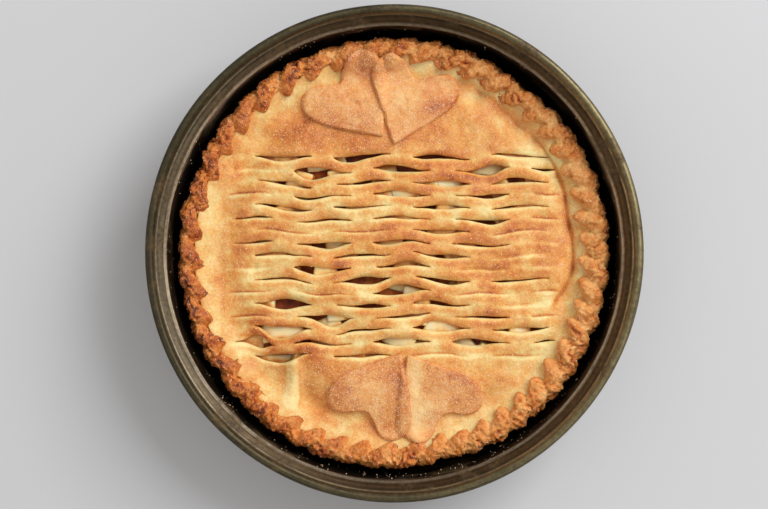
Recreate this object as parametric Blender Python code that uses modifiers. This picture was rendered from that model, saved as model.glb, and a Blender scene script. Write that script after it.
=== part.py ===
# An apple pie that stands in the round steel tin it was baked in. The pastry case ends in a
# crimped rim, the lid is cut by a roller cutter into rows of slits that show the apples, and
# four pastry hearts lie on it. Metres, +Z up, origin in the middle of the tin's flat bottom.
# Seen from above, +Y is the side of the upper pair of hearts.
import math
import random

import bmesh
import bpy
from mathutils import Matrix, Vector
from mathutils.bvhtree import BVHTree

GAP = 0.0003
MERGE = 0.00005

# Tin: a straight wall, a sloping step near the top and a rolled bead round the edge.
TIN_RADIUS = 0.1405
TIN_HEIGHT = 0.066
TIN_SHEET = 0.001
TIN_WALL_RADIUS = 0.1290
TIN_FLOOR_RADIUS = 0.1275
TIN_CORNER = 0.004
TIN_STEP_HEIGHT = 0.0565
TIN_BEAD = 0.0025
TIN_SIDES = 60

# Pastry case: floor, wall and the crimped rim.
CASE_BOTTOM = TIN_SHEET + GAP
CASE_THICKNESS = 0.004
CASE_FLOOR_RADIUS = 0.1195
CASE_NECK_RADIUS = 0.1215
CASE_NECK_HEIGHT = 0.0330
CRIMPS = 48
STEPS_PER_CRIMP = 3
CRIMP_SLANT = 0.65
CRIMP_HEIGHT = 0.0465
CRIMP_SHOULDER = 0.0430
CRIMP_LIP = 0.0397
CRIMP_FOOT = 0.0380
RIM_UNDERSIDE = 0.0392
CREST_START = 0.1130
CREST_END = 0.1182
CRIMP_OUTER = 0.1233
CRIMP_INNER = 0.1108
OUTER_SWING = 0.0018
INNER_SWING = 0.0030
LIFT_SWING = 0.0019
# The rim is wider on the right, and the crimps crowd together towards the lower right.
RIM_WIDENING = 0.0018
CROWDING = 6.0
CROWDED_AT = 340.0
# Where the rim was pushed in: direction in degrees, depth, and how many degrees it reaches.
RIM_DENTS = ((52, 0.0030, 9), (158, 0.0020, 5), (216, 0.0022, 6), (284, 0.0024, 5))
RIM_SHELF = 0.1142

# Lid: a low dome with a moat inside the rim.
LID_RADIUS = 0.1125
LID_THICKNESS = 0.0034
LID_MIDDLE = 0.0428
LID_FALL = 0.0040
MOAT_RADIUS = 0.1000
MOAT_SHIFT = 0.0022
MOAT_DEPTH = 0.0026
MOAT_WIDTH = 0.0068
MOAT_WIDENING = 0.0020
LID_SWELLS = ((0.0006, 0.041, 0.9, 0.4), (0.0005, 0.029, 2.3, 1.9), (0.0004, 0.035, -0.6, 4.0))
HOLLOWS = ((-0.078, -0.076, 0.009, 0.0026), (-0.045, -0.087, 0.010, 0.0024))

# Slits: rows of cuts as the roller leaves them, every second row half a period back.
SLIT_PITCH = 0.00708
SLIT_TOP = 0.0550
SLIT_PERIOD = 0.0455
COLUMNS_PER_PERIOD = 8
SLIT_COLUMNS = 6
SLIT_START = -0.0806
SLIT_LEFT = -0.0955
SLIT_RIGHT = 0.0958
SLIT_LIMIT = 0.1055
# How far each slit gapes, in millimetres: a row of slits each, from left to right.
OPENINGS = (
    "3432", "17462", "3243", "12431", "3232", "22231", "1131", "24321", "2231",
    "15311", "2532", "11611", "6331", "17221", "7263", "72542", "5211",
)
MILLIMETRE = 0.001
SLIT_ROWS = len(OPENINGS)
PUSH = 0.55
PUSH_ROWS = 3
PUSH_FADE = 0.012
# The rows sway a little: size, length of a wave, how it changes from row to row, phase.
SWAYS = ((0.0009, 0.083, 18.0, 1.1), (0.0005, 0.037, 55.0, 0.3))

# Apple pieces under the lid.
PIECE_SIZE = (0.0290, 0.0205, 0.0120)
PIECE_SPACING = (0.0265, 0.0195)
PIECE_REACH = (0.101, 0.068)
PIECE_CLEARANCE = 0.0010
FILLING_TOP = 0.0290
FILLING_RISE = 0.0030

# Hearts: half the cutter's outline in millimetres from the notch to the tip, across and along
# the axis. It has broad lobes and a wide notch.
HEART_HALF = (
    (0.0, 40.5), (3.0, 41.5), (6.6, 44.0), (11.0, 47.4), (16.0, 49.2), (20.9, 48.1), (24.4, 44.6),
    (26.1, 39.8), (25.6, 34.4), (22.9, 28.8), (18.9, 23.2), (14.4, 17.3), (9.6, 11.4), (4.8, 5.5),
    (0.0, 0.0),
)
HEART_MIDDLE = 0.0243
HEART_THICKNESS = 0.0028
HEART_SIDES = 28
HEART_RINGS = 3
HEART_CLEARANCE = 0.0007
SETTLE_CLEARANCE = 0.0004
SETTLE_SAMPLES = 12
OVERLAP_REACH = 0.0065
CLIMB_START = 0.0960
CLIMB_END = 0.1090
# In the order they were laid: the tip and the direction of the axis in degrees.
HEARTS = (
    ("heart_top_left", -0.0061, 0.0668, 129.5),
    ("heart_top_right", -0.0004, 0.0624, 70.0),
    ("heart_bottom_right", 0.0078, -0.0582, 301.0),
    ("heart_bottom_left", 0.0050, -0.0568, 239.5),
)

PIE = "apple_pie"


def clear_scene():
    for obj in list(bpy.data.objects):
        bpy.data.objects.remove(obj)
    collection = bpy.data.collections.new(PIE)
    bpy.context.scene.collection.children.link(collection)
    return collection


def finish(name, colour, roughness, metallic=0.0):
    """A material with one plain finish."""
    material = bpy.data.materials.new(name)
    material.use_nodes = True
    shader = material.node_tree.nodes["Principled BSDF"]
    shader.inputs["Base Color"].default_value = (*colour, 1.0)
    shader.inputs["Roughness"].default_value = roughness
    shader.inputs["Metallic"].default_value = metallic
    return material


def add_object(name, mesh, collection, material=None):
    obj = bpy.data.objects.new(name, mesh)
    collection.objects.link(obj)
    if material:
        mesh.materials.append(material)
    return obj


def mesh_from(bm, name):
    mesh = bpy.data.meshes.new(name)
    bm.to_mesh(mesh)
    bm.free()
    return mesh


def evaluated_mesh(obj):
    """The object's mesh with its modifiers applied."""
    bpy.context.view_layer.update()
    graph = bpy.context.evaluated_depsgraph_get()
    return bpy.data.meshes.new_from_object(obj.evaluated_get(graph))


def apply_modifiers(obj):
    mesh = evaluated_mesh(obj)
    obj.modifiers.clear()
    obj.data = mesh


def turned(name, profile, sides, collection, material):
    """A solid turned round Z. The profile runs out, over the top and down the outer side."""
    bm = bmesh.new()
    points = [bm.verts.new((r, 0.0, z)) for r, z in profile]
    for first, second in zip(points, points[1:]):
        bm.edges.new((first, second))
    obj = add_object(name, mesh_from(bm, name), collection, material)
    screw = obj.modifiers.new("turn", "SCREW")
    screw.steps = screw.render_steps = sides
    screw.use_merge_vertices = True
    screw.merge_threshold = MERGE
    apply_modifiers(obj)
    return obj


def arc(centre, radius, first, last, count):
    """Points on an arc in the r-z plane, angles in degrees."""
    turns = [math.radians(first + (last - first) * i / (count - 1)) for i in range(count)]
    return [(centre[0] + radius * math.cos(a), centre[1] + radius * math.sin(a)) for a in turns]


def make_tin(collection, material):
    bead = (TIN_RADIUS - TIN_BEAD, TIN_HEIGHT - TIN_BEAD)
    corner_in = (TIN_FLOOR_RADIUS - TIN_CORNER, TIN_SHEET + TIN_CORNER)
    outer_corner = TIN_CORNER + TIN_SHEET
    profile = [(0.0, TIN_SHEET)]
    profile += arc(corner_in, TIN_CORNER, -90, 0, 3)
    profile += [(TIN_WALL_RADIUS, TIN_STEP_HEIGHT)]
    profile += arc(bead, TIN_BEAD, 200, -110, 8)
    profile += [(TIN_WALL_RADIUS + TIN_SHEET, TIN_STEP_HEIGHT - TIN_SHEET)]
    profile += arc(corner_in, outer_corner, 0, -90, 3)
    profile += [(0.0, 0.0)]
    tin = turned("tin", profile, TIN_SIDES, collection, material)
    tin.data.shade_smooth()
    tin.data.set_sharp_from_angle(angle=math.radians(40))
    return tin


def case_profile():
    floor = CASE_BOTTOM + CASE_THICKNESS
    return [
        (0.0, floor),
        (CASE_FLOOR_RADIUS - CASE_THICKNESS, floor),
        (CASE_NECK_RADIUS - CASE_THICKNESS, CASE_NECK_HEIGHT),
        (RIM_SHELF, CASE_NECK_HEIGHT + 0.0010),
        (RIM_SHELF, RIM_UNDERSIDE),
        (CRIMP_INNER, CRIMP_LIP),
        (CRIMP_INNER + 0.0008, CRIMP_SHOULDER),
        (CREST_START, CRIMP_HEIGHT - 0.0005),
        (CREST_END, CRIMP_HEIGHT),
        (CRIMP_OUTER - 0.0005, CRIMP_SHOULDER),
        (CRIMP_OUTER, CRIMP_FOOT),
        (CASE_NECK_RADIUS, CASE_NECK_HEIGHT),
        (CASE_FLOOR_RADIUS, CASE_BOTTOM),
        (0.0, CASE_BOTTOM),
    ]


def crimp_wave(angle, inward):
    """From -1 to 1 along the rim. The pinched folds slant, so the wave shifts as it runs inward."""
    crowded = CROWDING * math.sin(angle - math.radians(CROWDED_AT))
    turn = CRIMPS * angle + crowded - CRIMP_SLANT * math.tau * inward
    uneven = 0.35 * math.sin(7 * angle + 1.3) + 0.25 * math.sin(13 * angle + 4.0)
    return math.sin(turn + uneven) * (0.85 + 0.3 * math.sin(5 * angle + 0.7))


def rim_dent(angle):
    """How far the rim is pushed in here."""
    dent = 0.0
    for degrees, depth, reach in RIM_DENTS:
        away = (math.degrees(angle) - degrees + 180) % 360 - 180
        dent += depth * math.exp(-((away / reach) ** 2))
    return dent


def crimp(point):
    """Moves a point of the plain turned case to where the pinched rim has it."""
    radius = math.hypot(point.x, point.y)
    above = point.z - CASE_NECK_HEIGHT
    if above < 0.002 or (radius < RIM_SHELF + GAP and point.z < RIM_UNDERSIDE + GAP):
        return point
    angle = math.atan2(point.y, point.x)
    inward = (CRIMP_OUTER - radius) / (CRIMP_OUTER - CRIMP_INNER)
    wave = crimp_wave(angle, inward)
    share = max(0.0, min(1.0, inward))
    swing = OUTER_SWING + (INNER_SWING - OUTER_SWING) * share
    outward = swing * wave * math.cos(math.pi * inward) - RIM_WIDENING * math.cos(angle) * share
    outward -= rim_dent(angle) * (1.0 - share)
    lift = LIFT_SWING * wave * math.sin(math.pi * share)
    scale = (radius + outward) / radius
    return Vector((point.x * scale, point.y * scale, point.z + lift))


def make_case(collection, material):
    case = turned("pastry_case", case_profile(), CRIMPS * STEPS_PER_CRIMP, collection, material)
    for vertex in case.data.vertices:
        vertex.co = crimp(vertex.co)
    return case


def lid_height(x, y):
    """Height of the lid's upper face."""
    radius = math.hypot(x, y)
    side = x / radius if radius > MERGE else 0.0
    moat_radius = MOAT_RADIUS + MOAT_SHIFT * side
    moat_width = MOAT_WIDTH - MOAT_WIDENING * side
    height = LID_MIDDLE - LID_FALL * (radius / LID_RADIUS) ** 2
    height -= MOAT_DEPTH * math.exp(-(((radius - moat_radius) / moat_width) ** 2))
    for size, length, direction, phase in LID_SWELLS:
        along = x * math.cos(direction) + y * math.sin(direction)
        fade = 1.0 - (radius / LID_RADIUS) ** 4
        height += size * fade * math.sin(math.tau * along / length + phase)
    for hollow_x, hollow_y, reach, depth in HOLLOWS:
        away = math.hypot(x - hollow_x, y - hollow_y) / reach
        height -= depth * math.exp(-(away**2))
    return height


def row_y(row):
    return SLIT_TOP - SLIT_PITCH * row


def slits_of(row, columns):
    """The slits of a row, as (first column, last column, half the opening)."""
    y = row_y(row)
    room = math.sqrt(SLIT_LIMIT**2 - y**2)
    low, high = max(SLIT_LEFT, -room), min(SLIT_RIGHT, room)
    length = SLIT_COLUMNS * SLIT_PERIOD / COLUMNS_PER_PERIOD
    found = []
    for number, opening in enumerate(OPENINGS[row]):
        start = SLIT_START + (number - (row % 2) / 2) * SLIT_PERIOD
        first, last = max(start, low) - MERGE, min(start + length, high) + MERGE
        inside = [column for column, x in enumerate(columns) if first <= x <= last]
        found.append((inside[0], inside[-1], int(opening) * MILLIMETRE / 2))
    return found


def sway(x, y):
    """How far the sheet has crept up or down here."""
    return sum(
        size * math.sin(math.tau * x / length + change * y + phase)
        for size, length, change, phase in SWAYS
    )


def gape(slits, column):
    """Half the opening of a row at this column."""
    for first, last, half in slits:
        if first < column < last:
            return half * math.sin(math.pi * (column - first) / (last - first)) ** 0.9
    return 0.0


def make_lid(collection, material):
    """A grid whose rows follow the cuts: it is split there, opened, thickened and domed."""
    column_width = SLIT_PERIOD / COLUMNS_PER_PERIOD
    before = math.ceil((LID_RADIUS + SLIT_START) / column_width)
    across = math.ceil(2 * LID_RADIUS / column_width)
    columns = [SLIT_START + (c - before) * column_width for c in range(across + 1)]
    margin = LID_RADIUS - SLIT_TOP
    shares = (1.0, 0.93, 0.75, 0.5, 0.25)
    rows = [SLIT_TOP + margin * share for share in shares]
    first_row = len(rows)
    rows += [row_y(row) for row in range(SLIT_ROWS)]
    bottom = rows[-1]
    rows += [bottom - (LID_RADIUS + bottom) * share for share in reversed(shares)]

    bm = bmesh.new()
    bmesh.ops.create_grid(bm, x_segments=across, y_segments=len(rows) - 1, size=1.0)
    places = {}
    for vertex in bm.verts:
        column = round((vertex.co.x + 1) / 2 * across)
        row = round((1 - vertex.co.y) / 2 * (len(rows) - 1))
        vertex.co = (column, -row, 0.0)
        places[(column, row)] = vertex
    slits = [slits_of(row, columns) for row in range(SLIT_ROWS)]
    cut = []
    for row, found in enumerate(slits):
        for first, last, _ in found:
            for column in range(first, last):
                ends = places[(column, first_row + row)], places[(column + 1, first_row + row)]
                cut.append(bm.edges.get(ends))
    bmesh.ops.split_edges(bm, edges=cut)

    moved = {}
    for vertex in bm.verts:
        column, row = round(vertex.co.x), round(-vertex.co.y)
        side = sum(face.calc_center_median().y + row for face in vertex.link_faces)
        x, y, slit_row = columns[column], rows[row], row - first_row
        room = LID_RADIUS - math.hypot(x, y)
        if room < 0.0:
            moved[vertex] = (math.copysign(math.sqrt(max(0.0, LID_RADIUS**2 - y**2)), x), y, 0.0)
            continue
        push = 0.0
        for other in range(max(0, slit_row - PUSH_ROWS), min(SLIT_ROWS, slit_row + PUSH_ROWS + 1)):
            half = gape(slits[other], column)
            if other == slit_row:
                push += math.copysign(half, side) if abs(side) > 0.01 else 0.0
            else:
                push += math.copysign(half * PUSH ** abs(other - slit_row), other - slit_row)
        y += (push + sway(x, y)) * min(1.0, room / PUSH_FADE)
        moved[vertex] = (x, y, 0.0)
    for vertex, place in moved.items():
        vertex.co = place
    bmesh.ops.remove_doubles(bm, verts=bm.verts, dist=MERGE)
    lid = add_object("lattice_lid", mesh_from(bm, "lattice_lid"), collection, material)
    shell = lid.modifiers.new("dough", "SOLIDIFY")
    shell.thickness = LID_THICKNESS
    shell.offset = -1.0
    apply_modifiers(lid)
    for vertex in lid.data.vertices:
        vertex.co.z += lid_height(vertex.co.x, vertex.co.y)
    return lid


def make_filling(collection, material):
    """A low core with the apple pieces that lie under the lid fused onto it."""
    floor = CASE_BOTTOM + CASE_THICKNESS + GAP
    radius = CASE_FLOOR_RADIUS - CASE_THICKNESS - GAP
    profile = [
        (0.0, FILLING_TOP + FILLING_RISE),
        (radius * 0.5, FILLING_TOP + FILLING_RISE * 0.7),
        (radius - 0.006, FILLING_TOP),
        (radius, FILLING_TOP - 0.004),
        (radius, floor),
        (0.0, floor),
    ]
    filling = turned("apple_filling", profile, 40, collection, material)
    pieces = bpy.data.collections.new("apple_pieces")
    bpy.context.scene.collection.children.link(pieces)
    draw = random.Random(5)
    rows = math.ceil(2 * PIECE_REACH[1] / PIECE_SPACING[1])
    columns = math.ceil(2 * PIECE_REACH[0] / PIECE_SPACING[0])
    for row in range(rows):
        for column in range(columns):
            x = -PIECE_REACH[0] + (column + 0.25 + 0.5 * (row % 2)) * PIECE_SPACING[0]
            y = -PIECE_REACH[1] + (row + 0.5) * PIECE_SPACING[1]
            x += draw.uniform(-0.004, 0.004)
            y += draw.uniform(-0.003, 0.003)
            turn = draw.uniform(-0.6, 0.6) + (math.pi / 2 if draw.random() < 0.3 else 0.0)
            tilt = (draw.uniform(-0.25, 0.25), draw.uniform(-0.25, 0.25))
            lift = draw.uniform(0.0, 0.003)
            if math.hypot(x, y) < 0.100:
                add_piece(x, y, turn, tilt, lift, draw, pieces)
    join = filling.modifiers.new("pieces", "BOOLEAN")
    join.operation = "UNION"
    join.operand_type = "COLLECTION"
    join.collection = pieces
    join.solver = "MANIFOLD"
    apply_modifiers(filling)
    for piece in list(pieces.objects):
        bpy.data.objects.remove(piece)
    bpy.data.collections.remove(pieces)
    return filling


def add_piece(x, y, turn, tilt, lift, draw, collection):
    """One chunk of apple: a box with its corners drawn in unevenly, under the lid."""
    bm = bmesh.new()
    bmesh.ops.create_cube(bm, size=1.0)
    for vertex in bm.verts:
        vertex.co.x *= PIECE_SIZE[0] * draw.uniform(0.75, 1.1)
        vertex.co.y *= PIECE_SIZE[1] * draw.uniform(0.70, 1.1)
        vertex.co.z *= PIECE_SIZE[2]
    turned_matrix = Matrix.Rotation(turn, 4, "Z") @ Matrix.Rotation(tilt[0], 4, "X")
    bm.transform(turned_matrix @ Matrix.Rotation(tilt[1], 4, "Y"))
    under = lid_height(x, y) - LID_THICKNESS - PIECE_CLEARANCE
    top = max(vertex.co.z for vertex in bm.verts)
    bm.transform(Matrix.Translation((x, y, under - top - lift)))
    for vertex in bm.verts:
        most = lid_height(vertex.co.x, vertex.co.y) - LID_THICKNESS - PIECE_CLEARANCE
        vertex.co.z = min(vertex.co.z, most)
    add_object("piece", mesh_from(bm, "piece"), collection)


def heart_point(turn):
    """The heart's outline at this turn from the notch: across and along its axis, from the tip."""
    place = abs(turn) / math.pi * (len(HEART_HALF) - 1)
    first = min(int(place), len(HEART_HALF) - 2)
    low, high = Vector(HEART_HALF[first]), Vector(HEART_HALF[first + 1])
    side, length = low.lerp(high, place - first) * MILLIMETRE
    return math.copysign(side, turn), length


def bed_height(x, y):
    """Height of what a heart lies on: the lid, and the rim's crests where the heart climbs them."""
    climb = (math.hypot(x, y) - CLIMB_START) / (CLIMB_END - CLIMB_START)
    climb = max(0.0, min(1.0, climb))
    climb = climb * climb * (3.0 - 2.0 * climb)
    crest = CRIMP_HEIGHT + LIFT_SWING
    return lid_height(x, y) * (1.0 - climb) + crest * climb


def top_of(trees, x, y, reach=0.0):
    """The highest surface at this place or within reach of it."""
    found = [0.0]
    for tree in trees:
        for step in range(24 if reach else 1):
            turn = step * math.tau / 8
            away = reach * (step // 8) / 2
            start = Vector((x + away * math.cos(turn), y + away * math.sin(turn), TIN_HEIGHT))
            hit = tree.ray_cast(start, Vector((0.0, 0.0, -1.0)))
            if hit[0] is not None:
                found.append(hit[0].z)
    return max(found)


def settle(bm, trees):
    """Lifts each face until none of it dips into what lies below."""
    steps = range(SETTLE_SAMPLES + 1)
    shares = [(i, j, SETTLE_SAMPLES - i - j) for i in steps for j in steps if i + j <= SETTLE_SAMPLES]
    for face in bm.faces:
        corners = [vertex.co.copy() for vertex in face.verts]
        lift = 0.0
        for weights in shares:
            place = sum((c * w for c, w in zip(corners, weights)), Vector()) / SETTLE_SAMPLES
            lift = max(lift, top_of(trees, place.x, place.y) + SETTLE_CLEARANCE - place.z)
        for vertex in face.verts:
            vertex.co.z += lift


def tree_of(obj):
    bm = bmesh.new()
    bm.from_mesh(evaluated_mesh(obj))
    tree = BVHTree.FromBMesh(bm)
    bm.free()
    return tree


def make_heart(name, tip_x, tip_y, degrees, below, collection, material):
    """A disc bent into a heart, laid over what is below it and thickened."""
    bm = bmesh.new()
    bmesh.ops.create_circle(bm, cap_ends=True, cap_tris=True, segments=HEART_SIDES, radius=1.0)
    spokes = [edge for edge in bm.edges if min(v.co.length for v in edge.verts) < 0.01]
    bmesh.ops.subdivide_edges(bm, edges=spokes, cuts=HEART_RINGS - 1, use_grid_fill=True)
    axis = math.radians(degrees)
    along = Vector((math.cos(axis), math.sin(axis)))
    across = Vector((along.y, -along.x))
    trees = [tree_of(obj) for obj in below]
    for vertex in bm.verts:
        share = vertex.co.xy.length
        side, length = heart_point(math.atan2(vertex.co.x, vertex.co.y))
        side, length = side * share, HEART_MIDDLE + (length - HEART_MIDDLE) * share
        place = Vector((tip_x, tip_y)) + along * length + across * side
        vertex.co = (place.x, place.y, 0.0)
        step = top_of(trees[2:], place.x, place.y, OVERLAP_REACH)
        vertex.co.z = max(bed_height(place.x, place.y), step) + HEART_CLEARANCE
    bmesh.ops.triangulate(bm, faces=bm.faces)
    settle(bm, trees)
    bmesh.ops.recalc_face_normals(bm, faces=bm.faces)
    if sum(face.normal.z for face in bm.faces) < 0:
        bmesh.ops.reverse_faces(bm, faces=bm.faces)
    heart = add_object(name, mesh_from(bm, name), collection, material)
    shell = heart.modifiers.new("dough", "SOLIDIFY")
    shell.thickness = HEART_THICKNESS
    shell.offset = 1.0
    return heart


def main():
    collection = clear_scene()
    steel = finish("dark_steel", (0.10, 0.075, 0.05), 0.45, 0.8)
    crust = finish("browned_crust", (0.58, 0.25, 0.09), 0.75)
    pastry = finish("baked_pastry", (0.77, 0.43, 0.17), 0.70)
    sugared = finish("sugared_pastry", (0.70, 0.34, 0.15), 0.75)
    apple = finish("cooked_apple", (0.72, 0.52, 0.24), 0.35)
    make_tin(collection, steel)
    case = make_case(collection, crust)
    lid = make_lid(collection, pastry)
    make_filling(collection, apple)
    laid = [case, lid]
    for name, tip_x, tip_y, degrees in HEARTS:
        laid.append(make_heart(name, tip_x, tip_y, degrees, laid, collection, sugared))


main()
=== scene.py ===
# %% [markdown]
# An apple pie in its tin, seen from straight above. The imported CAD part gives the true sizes,
# and each piece made here stands for one of its nodes. The lesson goes from the outside in:
# the tin, the apples, the crimped pastry case, the slit lid, the hearts, then the sugar.

# %% The frame and its size
import math
import random

import bmesh
import bpy
import numpy as np
from mathutils import Matrix, Vector, noise
from mathutils.bvhtree import BVHTree


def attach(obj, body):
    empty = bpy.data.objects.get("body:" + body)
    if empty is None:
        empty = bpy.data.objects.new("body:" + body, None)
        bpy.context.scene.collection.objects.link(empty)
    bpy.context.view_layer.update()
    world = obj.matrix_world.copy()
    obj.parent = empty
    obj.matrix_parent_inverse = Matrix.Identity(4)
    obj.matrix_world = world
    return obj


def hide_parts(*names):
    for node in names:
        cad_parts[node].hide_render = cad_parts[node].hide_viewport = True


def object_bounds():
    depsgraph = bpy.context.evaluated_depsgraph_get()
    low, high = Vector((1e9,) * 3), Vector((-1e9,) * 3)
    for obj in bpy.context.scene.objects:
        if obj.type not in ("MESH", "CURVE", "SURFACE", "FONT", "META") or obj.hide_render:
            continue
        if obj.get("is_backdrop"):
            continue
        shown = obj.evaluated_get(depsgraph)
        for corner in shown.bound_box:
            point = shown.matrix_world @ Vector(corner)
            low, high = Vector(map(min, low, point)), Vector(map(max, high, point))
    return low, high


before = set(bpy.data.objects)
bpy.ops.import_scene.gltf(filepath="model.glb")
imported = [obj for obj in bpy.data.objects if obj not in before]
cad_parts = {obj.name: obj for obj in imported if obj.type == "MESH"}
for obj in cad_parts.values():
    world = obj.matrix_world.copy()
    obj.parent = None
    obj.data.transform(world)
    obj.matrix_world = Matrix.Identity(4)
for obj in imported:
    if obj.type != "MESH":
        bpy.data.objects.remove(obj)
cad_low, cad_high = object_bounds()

print("tin and pie, mm:", [round(1000 * (high - low), 1) for low, high in zip(cad_low, cad_high)])

# %% [markdown]
# Every piece is a mesh whose points are moved many at a time. So these helpers hand all the
# points of a mesh over as one array, write them back, and keep a number on each point, which
# modifiers carry along and finishes can read.

# %% Helpers for meshes
def add_object(name, mesh):
    obj = bpy.data.objects.new(name, mesh)
    bpy.context.scene.collection.objects.link(obj)
    return obj


def mesh_of(name, points, faces):
    mesh = bpy.data.meshes.new(name)
    mesh.from_pydata([tuple(p) for p in points], [], faces)
    mesh.validate()
    return mesh


def read(mesh, field="co"):
    values = np.empty(len(mesh.vertices) * 3, np.float32)
    mesh.vertices.foreach_get(field, values)
    return values.reshape(-1, 3).astype(np.float64)


def move(mesh, points):
    mesh.vertices.foreach_set("co", np.asarray(points, np.float32).ravel())
    mesh.update()


def store(mesh, name, values):
    if name in mesh.attributes:
        mesh.attributes.remove(mesh.attributes[name])
    mesh.attributes.new(name, "FLOAT", "POINT")
    mesh.attributes[name].data.foreach_set("value", np.asarray(values, np.float32))


def stored(mesh, name):
    values = np.empty(len(mesh.vertices), np.float32)
    mesh.attributes[name].data.foreach_get("value", values)
    return values.astype(np.float64)


def apply_modifiers(obj):
    bpy.context.view_layer.update()
    graph = bpy.context.evaluated_depsgraph_get()
    mesh = bpy.data.meshes.new_from_object(obj.evaluated_get(graph))
    obj.modifiers.clear()
    obj.data = mesh
    return mesh


# %% [markdown]
# Baked dough is never even, so most surfaces get their last shape from noise, read at each
# point. The wavelength is the distance between two bumps, in metres, because that is how one
# would describe a crust. A step and a bell say where something starts, or how far it reaches.

# %% Helpers for uneven surfaces
def bumps(points, wavelength, seed, octaves=1):
    """Noise from about -1 to 1 at each point."""
    away = Vector((17.3 * seed, 5.1 * seed, 9.7 * seed))
    spots = (np.asarray(points) / wavelength).tolist()
    return np.array([noise.fractal(Vector(p) + away, 0.7, 2.1, octaves) for p in spots])


def ridges(points, wavelength, seed):
    """Like bumps, but with sharp crests, as torn or flaky dough has."""
    return 0.6 - 2.0 * np.abs(bumps(points, wavelength, seed, 2))


def smooth_step(value, low, high):
    share = np.clip((value - low) / (high - low), 0.0, 1.0)
    return share * share * (3.0 - 2.0 * share)


def bell(away):
    """1 where away is 0, and almost 0 from 2 on, to either side."""
    return np.exp(-(away**2))


def patch(points, x, y, reach_x, reach_y):
    """A soft spot round x, y, with its own reach along each axis."""
    return bell(np.hypot((points[:, 0] - x) / reach_x, (points[:, 1] - y) / reach_y))


# %% [markdown]
# The tin, the case and the syrup are round, so each is drawn as half a section and turned
# by a Screw modifier, as on a potter's wheel. The section is a few points with a smooth line
# through them, or arcs where the real bend is part of a circle.

# %% Helpers for turned pieces
def turned(name, profile, steps):
    """A skin turned round Z from points (radius, height)."""
    bm = bmesh.new()
    line = [bm.verts.new((r, 0.0, z)) for r, z in profile]
    for first, second in zip(line, line[1:]):
        bm.edges.new((first, second))
    mesh = bpy.data.meshes.new(name)
    bm.to_mesh(mesh)
    bm.free()
    obj = add_object(name, mesh)
    screw = obj.modifiers.new("turn", "SCREW")
    screw.steps = screw.render_steps = steps
    screw.use_merge_vertices = True
    screw.merge_threshold = 0.00005
    apply_modifiers(obj)
    obj.data.shade_smooth()
    return obj


def spline(points, spacing):
    """The line through these points, with rounded bends, cut to about this spacing."""
    points = [Vector((r, z)) for r, z in points]
    padded = [points[0] * 2 - points[1], *points, points[-1] * 2 - points[-2]]
    line = []
    for a, b, c, d in zip(padded, padded[1:], padded[2:], padded[3:]):
        count = max(1, round((c - b).length / spacing))
        for step in range(count):
            t = step / count
            bend = (c - a) * t + (2 * a - 5 * b + 4 * c - d) * t**2 + (3 * b - 3 * c + d - a) * t**3
            line.append(tuple(b + bend / 2))
    line.append(tuple(points[-1]))
    return line


def arc(centre, radius, first, last, count):
    turns = [math.radians(first + (last - first) * i / (count - 1)) for i in range(count)]
    return [(centre[0] + radius * math.cos(a), centre[1] + radius * math.sin(a)) for a in turns]


# %% [markdown]
# Every finish is made of nodes. This helper adds one node and fills its sockets, so that a
# recipe below reads as a list: a socket gets another node's output or a plain value.

# %% Helpers for finishes
def recipe(name):
    material = bpy.data.materials.new(name)
    material.use_nodes = True
    tree = material.node_tree
    return material, tree, tree.nodes["Principled BSDF"]


def fill(tree, node, sockets):
    for key, value in sockets.items():
        socket = node.inputs[key]
        if isinstance(value, bpy.types.NodeSocket):
            tree.links.new(value, socket)
        else:
            socket.default_value = value


def add_node(tree, kind, sockets=None, out=0, **settings):
    node = tree.nodes.new(kind)
    for key, value in settings.items():
        setattr(node, key, value)
    fill(tree, node, sockets or {})
    return node.outputs[out]


def sums(tree, operation, first, second, third=0.0):
    return add_node(tree, "ShaderNodeMath", {0: first, 1: second, 2: third}, operation=operation)


def noise_value(tree, coordinates, scale, detail=3.0, roughness=0.55):
    sockets = {"Vector": coordinates, "Scale": scale, "Detail": detail, "Roughness": roughness}
    return add_node(tree, "ShaderNodeTexNoise", sockets)


def ramp(tree, value, stops):
    """Colours at positions from 0 to 1. The colours are written as a picture shows them."""
    colours = add_node(tree, "ShaderNodeValToRGB", {"Fac": value})
    band = colours.node.color_ramp
    while len(band.elements) < len(stops):
        band.elements.new(0.5)
    for element, (position, colour) in zip(band.elements, stops):
        element.position = position
        element.color = (*[((c / 255 + 0.055) / 1.055) ** 2.4 for c in colour], 1.0)
    return colours


def grey_ramp(tree, value, stops):
    """Plain numbers at positions from 0 to 1."""
    sockets = {"Value": value, "From Min": stops[0][0], "From Max": stops[1][0]}
    sockets |= {"To Min": stops[0][1], "To Max": stops[1][1]}
    return add_node(tree, "ShaderNodeMapRange", sockets)


def blend(tree, share, first, second):
    return add_node(tree, "ShaderNodeMix", {0: share, 6: first, 7: second}, out=2, data_type="RGBA")


def bump(tree, height, strength, distance):
    sockets = {"Height": height, "Strength": strength, "Distance": distance}
    return add_node(tree, "ShaderNodeBump", sockets)


# %% [markdown]
# The tin is one sheet of steel: a wall that leans out a little, a sloping step near the top
# and an edge rolled round a wire. Its section goes out along the inside of the floor, up the
# wall, round the rolled edge and back down the outside, with the thickness of the sheet
# between the two.

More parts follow.
